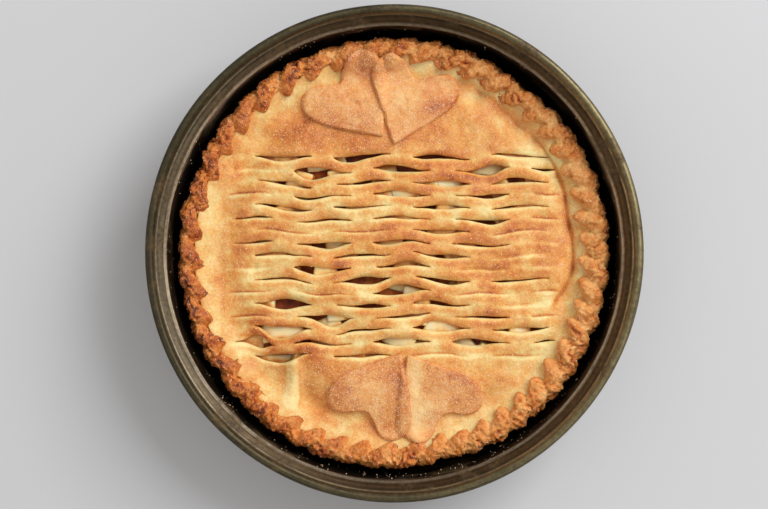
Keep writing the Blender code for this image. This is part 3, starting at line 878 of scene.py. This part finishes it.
def dough_folds(x, y):
    """The height of the crease, the ridge and the gathers, and a band of painted shade by it."""
    radius, degrees = np.hypot(x, y), np.degrees(np.arctan2(y, x))
    path = np.interp(degrees, [a for a, _ in CREASE], [r for _, r in CREASE])
    ends = smooth_step(degrees, -26, -16) * (0.35 + 0.65 * smooth_step(-degrees, -44, -34))
    ends *= smooth_step(-degrees, -74, -62)
    crease = -CREASE_DEPTH * ends * bell((radius - path) / CREASE_WIDTH)
    ridge = sum(size * bell((x - middle) / reach) for middle, reach, size in RIDGE)
    ridge *= smooth_step(y, -0.094, -0.084) * smooth_step(-y, 0.058, 0.064)
    slope = smooth_step(radius, 0.092, 0.102) * smooth_step(-radius, -0.114, -0.108)
    angle = np.arctan2(y, x)
    gathers = 0.0005 * np.sin(23 * angle + 2.0 * np.sin(5 * angle)) * slope
    # A band of painted shade along the upper part of the crease, for the colour of the lid.
    shade = ends * smooth_step(degrees, 34, 44) * bell((radius - path) / 0.0034)
    return crease + ridge + gathers, shade


print("the crease is this deep, mm:", round(1000 * CREASE_DEPTH, 1))

# %% [markdown]
# The place of every point before it was pushed is kept as two numbers on the vertices. They
# go through the Solidify and Subdivision modifiers with the mesh, so the height of the dough
# can still be worked out afterwards from where each point was on the rolled sheet.

# %% The lid
rest, faces = lid_grid()
flat = np.c_[rest[:, 0], push_apart(rest), np.zeros(len(rest))]
outside = np.hypot(flat[:, 0], flat[:, 1])
flat[:, :2] *= np.where(outside > SHEET_RADIUS - 0.6 * CELL, SHEET_RADIUS / outside, 1.0)[:, None]
mesh = mesh_of("slit_lid", flat, faces)
store(mesh, "sheet_x", rest[:, 0])
store(mesh, "sheet_y", rest[:, 1] + rest[:, 2])
bm = bmesh.new()
bm.from_mesh(mesh)
bmesh.ops.delete(bm, geom=[v for v in bm.verts if not v.link_faces], context="VERTS")
bm.to_mesh(mesh)
bm.free()
lid = add_object("slit_lid", mesh)
dough = lid.modifiers.new("dough", "SOLIDIFY")
dough.thickness = LID_THICKNESS
dough.offset = 1.0 if mesh.polygons[0].normal.z < 0 else -1.0
rounder = lid.modifiers.new("rounder", "SUBSURF")
rounder.levels = rounder.render_levels = 1
mesh = apply_modifiers(lid)

print("faces of the sheet:", len(mesh.polygons))

# %% [markdown]
# Now the sheet is laid down: each point goes up to the dome, and gets the bends of its
# strand, the folds and the crumb of the crust. Near the rim the sheet lifts a little, because
# it lies on the case there.

# %% The relief of the lid
points = read(mesh)
sheet_x, sheet_y = stored(mesh, "sheet_x"), stored(mesh, "sheet_y")
relief, upper_lip, lower_lip, groove = strand_relief(sheet_x, sheet_y)
folds, shade = dough_folds(points[:, 0], points[:, 1])
on_top = smooth_step(points[:, 2], -0.0017, -0.0006)
radius = np.hypot(points[:, 0], points[:, 1])
bedded = np.c_[points[:, :2], 0 * relief]
lumps = 0.0009 * bumps(bedded * [0.7, 1.0, 1.0], 0.015, 12, 2)
crust_grain = 0.00030 * bumps(points, 0.0042, 13, 3) + 0.00020 * ridges(points, 0.0021, 14)
lift = 0.0024 * smooth_step(radius, 0.1055, 0.1150)
lift += 0.0011 * smooth_step(radius, 0.1010, 0.1080) * smooth_step(-points[:, 0], 0.020, 0.060)
height = lid_height(points[:, 0], points[:, 1]) + folds + lift
points[:, 2] += height + relief + lumps + crust_grain * on_top
move(mesh, points)
mesh.shade_smooth()
print("highest point of the lid, mm:", round(1000 * float(points[:, 2].max()), 1))

# %% [markdown]
# What stood highest in the oven is brownest, so the number "bake_and_shade" follows the
# relief: the middles of the strands and the tops of the swells are brown, the slopes stay
# pale. Light and shade are painted into it as well. Of the two lips of a slit the lower one,
# which faces the light, is painted palest, and the upper one hangs over it and is painted
# browner as its shade. The crease, the hollows and the walls of the slits are painted brown
# as shade, the ridge paler as a highlight, and a band of painted shade lies under the crimps
# at the upper right.

# %% How brown the lid is, with painted light and shade
# Where the lid is browner or paler: x, y, reach along x and y, and how much.
LID_PATCHES = (
    (-0.068, 0.036, 0.012, 0.018, -0.17), (-0.010, 0.022, 0.026, 0.008, -0.15),
    (-0.052, -0.018, 0.020, 0.007, -0.16), (-0.010, -0.050, 0.030, 0.006, -0.12),
    (0.045, -0.010, 0.016, 0.014, 0.12), (-0.088, 0.020, 0.006, 0.030, 0.10),
    (-0.041, -0.085, 0.010, 0.010, -0.18), (-0.010, -0.062, 0.014, 0.004, -0.15),
    (0.020, -0.061, 0.014, 0.004, -0.15), (-0.025, -0.097, 0.012, 0.006, -0.14),
    (0.038, -0.097, 0.012, 0.006, -0.14), (-0.062, -0.070, 0.012, 0.012, 0.06),
    (-0.052, 0.066, 0.022, 0.022, 0.08),
)
# The walls of the slits are painted browner, as the shade in the slits.
WALL_SHADE_BAKE = 0.70
in_row = np.cos(math.pi * (SLIT_TOP - sheet_y) / SLIT_PITCH) ** 2
slatted = smooth_step(sheet_x, -0.098, -0.085) * smooth_step(-sheet_x, -0.098, -0.085)
slatted *= smooth_step(sheet_y, -0.064, -0.058) * smooth_step(-sheet_y, -0.060, -0.055)
bake_and_shade = 0.48 + 140.0 * lumps
# Painted light on the lips: the lower lip paler, facing the light, the upper browner as shade.
bake_and_shade += (0.50 * groove + 0.14 * upper_lip - 0.36 * lower_lip - 0.18 * in_row * slatted) * on_top
bake_and_shade += (0.15 + 0.10 * slatted) * bumps(points, 0.011, 15, 3)
bake_and_shade += (0.15 + 0.12 * slatted) * bumps(bedded, 0.030, 22, 2)
side = points[:, 0] / 0.11
bake_and_shade -= (0.14 + 0.06 * side) * smooth_step(radius, 0.087, 0.101)
bake_and_shade -= 0.14 * smooth_step(radius, 0.1030, 0.1065) * (1.0 - np.minimum(2.0 * shade, 1.0))
# Painted shade under the crimps at the upper right.
bake_and_shade += 0.60 * shade
# Painted shade in the crease, and a painted highlight on the ridge.
bake_and_shade += 0.30 * smooth_step(-folds, 0.0010, 0.0022) - 0.32 * smooth_step(folds, 0.0004, 0.0012)
bake_and_shade += 0.10 * bell((np.abs(sheet_x) - 0.0985) / 0.0016) * (np.abs(sheet_y) < 0.058)
# The hollows are painted browner, as painted shade.
for x, y, reach, _ in HOLLOWS:
    bake_and_shade += 0.14 * patch(points, x, y, reach, reach)
for *where, more in LID_PATCHES:
    bake_and_shade += more * patch(points, *where)
store(mesh, "bake_and_shade", bake_and_shade * on_top + WALL_SHADE_BAKE * (1.0 - on_top))
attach(lid, "root")
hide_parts("lattice_lid")
print("lid faces:", len(mesh.polygons))

# %% [markdown]
# Where the dough stayed nearly shut, the apples kept their syrup and are painted brown in
# the narrow slits, which also stands for the shade there. Under a wide slit they stay pale.
# So each vertex of the apples looks up how far the slits above it gape.

# %% Syrup and painted shade on the apples
points = read(apples.data)
gape = np.zeros(len(points))
for row in range(SLIT_ROWS):
    from_slit = points[:, 1] - (SLIT_TOP - SLIT_PITCH * row)
    gape += sum(halves(points[:, 0], row)[:2]) * bell(from_slit / 0.004)
under_wide_slit = smooth_step(gape, 0.0010, 0.0028)
store(apples.data, "wet_and_shade", 1.0 - under_wide_slit)
print("share of the apples that went pale:", round(float(under_wide_slit.mean()), 2))

# %% [markdown]
# Four hearts were cut from what was left of the dough and laid on top, two and two, each
# pair overlapping. The cutter has broad lobes and a wide notch, and half its outline is
# written down here in millimetres, from the notch round to the tip.

# %% The cutter and where the hearts lie
HEART_HALF = (
    (0.0, 40.5), (3.0, 41.5), (6.6, 44.0), (11.0, 47.4), (16.0, 49.2), (20.9, 48.1), (24.4, 44.6),
    (26.1, 39.8), (25.6, 34.4), (22.9, 28.8), (18.9, 23.2), (14.4, 17.3), (9.6, 11.4), (4.8, 5.5),
    (0.0, 0.0),
)
HEART_MIDDLE = 0.0243
HEART_THICKNESS = 0.0028
HEART_RINGS = 22
HEART_SIDES = 120
HEART_SMOOTHINGS = 14
HEART_SINKS = 0.0003
# Each heart: name, where its tip lies, its turn in degrees, and how brown it is.
HEARTS = (
    ("top_left", -0.0061, 0.0668, 129.5, 0.49),
    ("top_right", -0.0004, 0.0624, 70.0, 0.50),
    ("bottom_right", 0.0078, -0.0582, 301.0, 0.52),
    ("bottom_left", 0.0050, -0.0568, 239.5, 0.52),
)
# Where a heart is browner or paler: x, y, reach along x and y, and how much.
HEART_PATCHES = {
    "top_left": (
        (-0.0088, 0.1000, 0.007, 0.010, 0.26), (-0.0356, 0.0750, 0.014, 0.006, 0.20),
        (-0.0486, 0.0917, 0.006, 0.006, -0.14), (-0.0195, 0.1124, 0.008, 0.008, 0.18),
    ),
    "top_right": ((0.0280, 0.0848, 0.012, 0.006, 0.26), (0.0066, 0.0894, 0.008, 0.012, -0.22)),
    "bottom_right": (
        (0.0160, -0.0920, 0.008, 0.012, -0.24), (0.0400, -0.0737, 0.013, 0.006, 0.20),
        (0.0120, -0.0730, 0.0035, 0.035, -0.36),
    ),
    "bottom_left": (
        (0.0025, -0.0740, 0.0060, 0.018, 0.26), (-0.0113, -0.0806, 0.004, 0.010, -0.12),
        (-0.0328, -0.0806, 0.008, 0.007, 0.14),
    ),
}


def heart_outline():
    """Points across and along the heart's axis, from the notch round and back to it."""
    line = np.array(spline(HEART_HALF, 0.5)) / 1000
    run = np.r_[0.0, np.cumsum(np.hypot(*np.diff(line, axis=0).T))]
    even = np.linspace(0.0, run[-1], HEART_SIDES // 2 + 1)
    half = np.c_[np.interp(even, run, line[:, 0]), np.interp(even, run, line[:, 1])]
    return np.vstack((half, half[-2:0:-1] * [-1.0, 1.0]))


print("points of a heart's outline:", len(heart_outline()))

# %% [markdown]
# A heart has to lie on whatever is below: the lid, the rim, or another heart. A ray cast
# straight down at each of its points finds the highest thing there.

# %% Finding what lies below
def tree_of(obj):
    bm = bmesh.new()
    bm.from_mesh(obj.data)
    tree = BVHTree.FromBMesh(bm)
    bm.free()
    return tree


def top_of(trees, x, y):
    found = [0.0]
    for tree in trees:
        hit = tree.ray_cast(Vector((x, y, 0.1)), Vector((0.0, 0.0, -1.0)))
        if hit[0] is not None:
            found.append(hit[0].z)
    return max(found)


# %% [markdown]
# A heart starts as a disc whose rings are bent to the outline. Then it is let down onto what
# is below, and smoothed a little, since raw dough bridges small gaps.

# %% A heart let down onto the pie
def heart_sheet(name, tip_x, tip_y, degrees, trees):
    """A flat heart, draped over what is below."""
    axis = math.radians(degrees)
    along = Vector((math.cos(axis), math.sin(axis)))
    across = Vector((along.y, -along.x))
    places = [Vector((tip_x, tip_y)) + along * HEART_MIDDLE]
    for ring in range(1, HEART_RINGS + 1):
        for side, length in heart_outline():
            share = (ring / HEART_RINGS) ** 0.9
            place = across * side * share + along * (HEART_MIDDLE + (length - HEART_MIDDLE) * share)
            places.append(Vector((tip_x, tip_y)) + place)
    heights = [top_of(trees, p.x, p.y) for p in places]
    faces = [(0, 1 + step, 1 + (step + 1) % HEART_SIDES) for step in range(HEART_SIDES)]
    for ring in range(HEART_RINGS - 1):
        for step in range(HEART_SIDES):
            a = 1 + ring * HEART_SIDES + step
            b = 1 + ring * HEART_SIDES + (step + 1) % HEART_SIDES
            faces.append((a, a + HEART_SIDES, b + HEART_SIDES, b))
    mesh = mesh_of("pastry_heart_" + name, [(p.x, p.y, h) for p, h in zip(places, heights)], faces)
    shares = np.arange(1, HEART_RINGS + 1) / HEART_RINGS
    store(mesh, "edge", np.r_[0.0, np.repeat(shares, HEART_SIDES)])
    return mesh


def settle(mesh):
    """Turn the faces up and smooth the sheet, but hardly sink it into what is below."""
    bm = bmesh.new()
    bm.from_mesh(mesh)
    bmesh.ops.recalc_face_normals(bm, faces=bm.faces)
    if sum(face.normal.z for face in bm.faces) < 0:
        bmesh.ops.reverse_faces(bm, faces=bm.faces)
    support = {v: v.co.z for v in bm.verts}
    for _ in range(HEART_SMOOTHINGS):
        bmesh.ops.smooth_vert(bm, verts=bm.verts, factor=0.5, use_axis_z=True)
        for vertex in bm.verts:
            vertex.co.z = max(vertex.co.z, support[vertex] - HEART_SINKS)
    bm.to_mesh(mesh)
    bm.free()


# %% [markdown]
# The draped sheet gets its thickness and a rounded edge from two modifiers. The crumb of the
# dough and the browning follow, with the darker and paler patches that each heart has.

# %% The hearts
def make_heart(name, tip_x, tip_y, degrees, brown, trees):
    mesh = heart_sheet(name, tip_x, tip_y, degrees, trees)
    settle(mesh)
    heart = add_object("pastry_heart_" + name, mesh)
    dough = heart.modifiers.new("dough", "SOLIDIFY")
    dough.thickness = HEART_THICKNESS
    dough.offset = 1.0
    rounder = heart.modifiers.new("rounder", "SUBSURF")
    rounder.levels = rounder.render_levels = 1
    mesh = apply_modifiers(heart)
    points = read(mesh)
    grain = 0.00022 * bumps(points, 0.0035, 16, 3) + 0.00012 * ridges(points, 0.0018, 17)
    rounding = 0.0010 * smooth_step(stored(mesh, "edge"), 0.90, 1.0) ** 2
    upper = smooth_step(read(mesh, "normal")[:, 2], -0.2, 0.4)
    points[:, 2] += (grain - rounding) * upper
    move(mesh, points)
    mesh.shade_smooth()
    bake_and_shade = brown + 0.08 * smooth_step(stored(mesh, "edge"), 0.84, 1.0)
    bake_and_shade += 0.14 * bumps(points, 0.009, 18, 3) + 300 * grain - 0.20 * (1.0 - upper)
    for *where, more in HEART_PATCHES[name]:
        bake_and_shade += more * patch(points, *where)
    store(mesh, "bake_and_shade", bake_and_shade)
    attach(heart, "root")
    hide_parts("heart_" + name)
    return heart


beds = [tree_of(lid), tree_of(case)]
hearts = []
for name, tip_x, tip_y, degrees, brown in HEARTS:
    hearts.append(make_heart(name, tip_x, tip_y, degrees, brown, beds))
    beds.append(tree_of(hearts[-1]))
print("heart faces:", [len(heart.data.polygons) for heart in hearts])

# %% [markdown]
# One recipe serves all the pastry. The number "bake_and_shade" on each vertex says how brown
# it is, with the light and shade painted into it: low where the dough sank into a slit and
# stayed pale, high on the crimps. A coarse and a fine noise break it up, and sugar leaves a
# fine pale grain on top.

# %% The finish of the pastry
def pastry_finish(name, stops, sugar, gloss, soft, crumb):
    material, tree, shader = recipe(name)
    place = add_node(tree, "ShaderNodeTexCoord", out="Object")
    bake_and_shade = add_node(tree, "ShaderNodeAttribute", out="Fac", attribute_name="bake_and_shade")
    blotch = noise_value(tree, place, 160.0, 4.0, 0.6)
    fine = noise_value(tree, place, 900.0, 3.0, 0.6)
    tone = sums(tree, "MULTIPLY_ADD", sums(tree, "SUBTRACT", blotch, 0.5), 0.50, bake_and_shade)
    tone = sums(tree, "MULTIPLY_ADD", sums(tree, "SUBTRACT", fine, 0.5), 0.70, tone)
    colour = ramp(tree, tone, stops)
    grains = add_node(tree, "ShaderNodeTexVoronoi", {"Vector": place, "Scale": 1100.0})
    crystal = grey_ramp(tree, grains, ((0.16, 1.0), (0.34, 0.0)))
    where = grey_ramp(tree, noise_value(tree, place, 70.0, 2.0), ((0.42, 0.25), (0.60, 1.0)))
    covered = sums(tree, "MULTIPLY", sums(tree, "ADD", crystal, 0.12), where)
    covered = sums(tree, "MULTIPLY", covered, sugar)
    pale = ramp(tree, fine, ((0.3, (240, 206, 170)), (0.7, (255, 236, 212))))
    base = blend(tree, covered, colour, pale)
    rough = grey_ramp(tree, blotch, ((0.35, gloss), (0.65, gloss + 0.22)))
    relief = sums(tree, "MULTIPLY_ADD", fine, 0.7, sums(tree, "MULTIPLY", crystal, 0.35))
    relief = sums(tree, "MULTIPLY_ADD", blotch, 0.6, relief)
    sockets = {"Base Color": base, "Roughness": rough, "Normal": bump(tree, relief, crumb, 0.0010)}
    sockets |= {"Subsurface Weight": soft, "Subsurface Scale": 0.004}
    sockets["Subsurface Radius"] = (1.0, 0.42, 0.16)
    fill(tree, shader, sockets)
    return material


# %% [markdown]
# The lid, the rim and the hearts differ in how far they browned and in how much sugar they
# carry, so each gets its own colours, from raw to burnt. In a look, soft is how much light
# goes into the dough, and crumb is how rough its surface is.

# %% The colours of the pastry
LID_STOPS = (
    (0.02, (246, 220, 152)), (0.22, (237, 192, 114)), (0.45, (228, 155, 72)),
    (0.68, (207, 119, 48)), (0.92, (156, 76, 25)),
)
RIM_STOPS = (
    (0.10, (246, 198, 120)), (0.34, (238, 168, 92)), (0.56, (222, 132, 50)),
    (0.78, (184, 88, 22)), (1.05, (102, 42, 10)),
)
HEART_STOPS = (
    (0.10, (246, 206, 140)), (0.36, (238, 178, 106)), (0.56, (226, 150, 78)),
    (0.78, (200, 112, 50)), (1.0, (152, 72, 26)),
)
RIM_LOOK = {"sugar": 0.17, "gloss": 0.50, "soft": 0.06, "crumb": 0.85}
LID_LOOK = {"sugar": 0.22, "gloss": 0.48, "soft": 0.30, "crumb": 0.35}
HEART_LOOK = {"sugar": 0.34, "gloss": 0.52, "soft": 0.20, "crumb": 0.45}
doughs = [(case, RIM_STOPS, RIM_LOOK), (lid, LID_STOPS, LID_LOOK)]
doughs += [(heart, HEART_STOPS, HEART_LOOK) for heart in hearts]
for obj, stops, look in doughs:
    obj.data.materials.clear()
    obj.data.materials.append(pastry_finish(obj.name + "_dough", stops, **look))
print("pieces of pastry with a finish:", len(doughs))

# %% [markdown]
# Sugar was strewn over the raw pie. A grain is set where a falling grain would land, and
# then it may stay or roll away: it lies thick on the hearts and the plain parts of the lid,
# thin on the strands. Some hit the tin and stuck to its wall.

# %% Where the sugar lies
GRAINS = 15000
WALL_GRAINS = 170
STREWN_RADIUS = 0.125
# A grain that would land lower than this lands beside the pie.
LOWEST_BED = 0.036
# The rim and the strands of the lid, seen from above.
RIM_FROM = 0.109
STRANDS_LEFT_RIGHT = 0.096
STRANDS_BOTTOM, STRANDS_TOP = -0.062, 0.058
# The share of the grains that stay where they land.
STAY_ON_HEART = 1.0
STAY_ON_RIM = 0.26
STAY_ON_STRANDS = 0.24
STAY_ON_LID = 0.50
# Half the side of a grain: smallest, largest and most common.
GRAIN_SIZES = (0.00008, 0.00024, 0.00012)


def landing(draw):
    """A random place on the pie."""
    reach = STREWN_RADIUS * math.sqrt(draw.random())
    turn = draw.uniform(0.0, math.tau)
    return reach * math.cos(turn), reach * math.sin(turn)


def chance_to_stay(x, y):
    if top_of(beds[2:], x, y) > 0.0:
        return STAY_ON_HEART
    if math.hypot(x, y) > RIM_FROM:
        return STAY_ON_RIM
    on_strands = STRANDS_BOTTOM < y < STRANDS_TOP and abs(x) < STRANDS_LEFT_RIGHT
    return STAY_ON_STRANDS if on_strands else STAY_ON_LID


def strew(count, draw):
    found = []
    while len(found) < count:
        x, y = landing(draw)
        if draw.random() > chance_to_stay(x, y):
            continue
        z = top_of(beds, x, y)
        if z > LOWEST_BED:
            found.append(Vector((x, y, z)))
    return found


def strew_on_wall(count, draw):
    found = []
    for _ in range(count):
        turn = draw.gauss(-1.5, 0.9) if draw.random() < 0.7 else draw.uniform(0.0, math.tau)
        z = draw.uniform(0.030, 0.0560)
        radius = TIN_FLOOR_RADIUS + WALL_LEAN * (z - WALL_FOOT) / WALL_HEIGHT - 0.0002
        found.append(Vector((radius * math.cos(turn), radius * math.sin(turn), z)))
    return found


# %% [markdown]
# All the grains are one mesh of small cubes. Each cube is turned about a random axis, so
# that the light catches a face of some of them.

# %% The sugar
def sugar_mesh(places, draw):
    corners, faces = [], []
    sides = ((0, 1, 3, 2), (4, 6, 7, 5), (0, 4, 5, 1), (2, 3, 7, 6), (0, 2, 6, 4), (1, 5, 7, 3))
    for place in places:
        angle = draw.uniform(0, math.tau)
        axis = Vector([draw.gauss(0, 1) for _ in range(3)]).normalized()
        turn = Matrix.Rotation(angle, 3, axis)
        size = draw.triangular(*GRAIN_SIZES)
        first = len(corners)
        for corner in range(8):
            spot = Vector([size * (1 if corner >> bit & 1 else -1) for bit in range(3)])
            corners.append(place + turn @ spot)
        faces += [tuple(first + c for c in side) for side in sides]
    return mesh_of("sugar_grains", corners, faces)


draw = random.Random(23)
places = strew(GRAINS, draw) + strew_on_wall(WALL_GRAINS, draw)
sugar = add_object("sugar_grains", sugar_mesh(places, draw))
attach(sugar, "root")
material, tree, shader = recipe("white_sugar")
place = add_node(tree, "ShaderNodeTexCoord", out="Object")
tint = noise_value(tree, place, 300.0, 2.0)
sockets = {"Base Color": ramp(tree, tint, ((0.3, (244, 200, 152)), (0.7, (252, 228, 196))))}
sockets["Roughness"] = grey_ramp(tree, tint, ((0.3, 0.15), (0.7, 0.35)))
sockets["Normal"] = bump(tree, noise_value(tree, place, 3000.0, 1.0), 0.2, 0.0001)
fill(tree, shader, sockets)
sugar.data.materials.append(material)
print("sugar grains:", GRAINS + WALL_GRAINS)

# %% [markdown]
# The pie stands on a pale, plain surface. It isn't part of the object, so it is given to
# the stage.

# %% The floor
FLOOR_SIZE = 4.0
FLOOR_HEIGHT = -0.0003
bpy.ops.mesh.primitive_plane_add(size=FLOOR_SIZE, location=(0.0, 0.0, FLOOR_HEIGHT))
floor = bpy.context.object
floor.name = "pale_table"
material, tree, shader = recipe("pale_table_top")
place = add_node(tree, "ShaderNodeTexCoord", out="Object")
tint = noise_value(tree, place, 2.0, 2.0)
colour = ramp(tree, tint, ((0.3, (199, 199, 201)), (0.7, (205, 205, 207))))
fill(tree, shader, {"Base Color": colour, "Roughness": 0.6})
floor.data.materials.append(material)
floor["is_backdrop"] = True
print("the floor is this wide, m:", FLOOR_SIZE)

# %% [markdown]
# The light in the photo is that of a big window at the upper right, with weak light from
# all round. A square lamp of a metre and a half gives the same soft shadows.

# %% The light
WINDOW_PLACE = (1.45, 1.25, 1.95)
WINDOW_SIZE = 1.5
WINDOW_POWER = 58.0
WINDOW_COLOUR = (0.98, 0.985, 1.0)
LIT_PLACE = (0.0, 0.0, 0.03)
ROOM_COLOUR = (1.0, 0.985, 0.96, 1.0)
ROOM_STRENGTH = 0.59


def soft_lamp(name, place, size, power):
    lamp = bpy.data.lights.new(name, "AREA")
    lamp.size = size
    lamp.energy = power
    lamp.color = WINDOW_COLOUR
    obj = bpy.data.objects.new(name, lamp)
    obj.location = place
    direction = Vector(LIT_PLACE) - Vector(place)
    obj.rotation_euler = direction.to_track_quat("-Z", "Y").to_euler()
    bpy.context.scene.collection.objects.link(obj)


soft_lamp("window", WINDOW_PLACE, WINDOW_SIZE, WINDOW_POWER)
world = bpy.data.worlds.new("room")
world.use_nodes = True
background = world.node_tree.nodes["Background"]
background.inputs["Color"].default_value = ROOM_COLOUR
background.inputs["Strength"].default_value = ROOM_STRENGTH
bpy.context.scene.world = world
print("the lamp is this far away, m:", round(Vector(WINDOW_PLACE).length, 2))

# %% [markdown]
# The camera hangs straight above, a little more than a metre over the table, with a long
# lens, as in the photo.

# %% The camera
CAMERA_HEIGHT = 1.066
LENS = 83.4
SENSOR_WIDTH = 36.0
PHOTO_WIDTH = 768
# The pie stands a few pixels off the middle of the photo.
OFF_MIDDLE = (-10, -1.5)
camera_data = bpy.data.cameras.new("overhead_camera")
camera_data.lens = LENS
camera_data.sensor_width = SENSOR_WIDTH
camera_data.shift_x = OFF_MIDDLE[0] / PHOTO_WIDTH
camera_data.shift_y = OFF_MIDDLE[1] / PHOTO_WIDTH
camera = bpy.data.objects.new("overhead_camera", camera_data)
camera.location = (0.0, 0.0, CAMERA_HEIGHT)
bpy.context.scene.collection.objects.link(camera)
bpy.context.scene.camera = camera
bpy.context.scene.view_settings.view_transform = "Standard"
print("width seen at the table, m:", round(CAMERA_HEIGHT * SENSOR_WIDTH / LENS, 3))

# %% [markdown]
# At the end the box of the CAD part and the box of all that was made here are set side by
# side, and the scene's box is printed, so that a change of size can be found.

# %% The sizes, side by side
low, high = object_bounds()
sizes = {"cad": [list(cad_low), list(cad_high)], "scene": [list(low), list(high)]}
sizes = {key: [[float(v) for v in corner] for corner in box] for key, box in sizes.items()}
print("scene box, mm:", [[round(1000 * v, 1) for v in corner] for corner in sizes["scene"]])
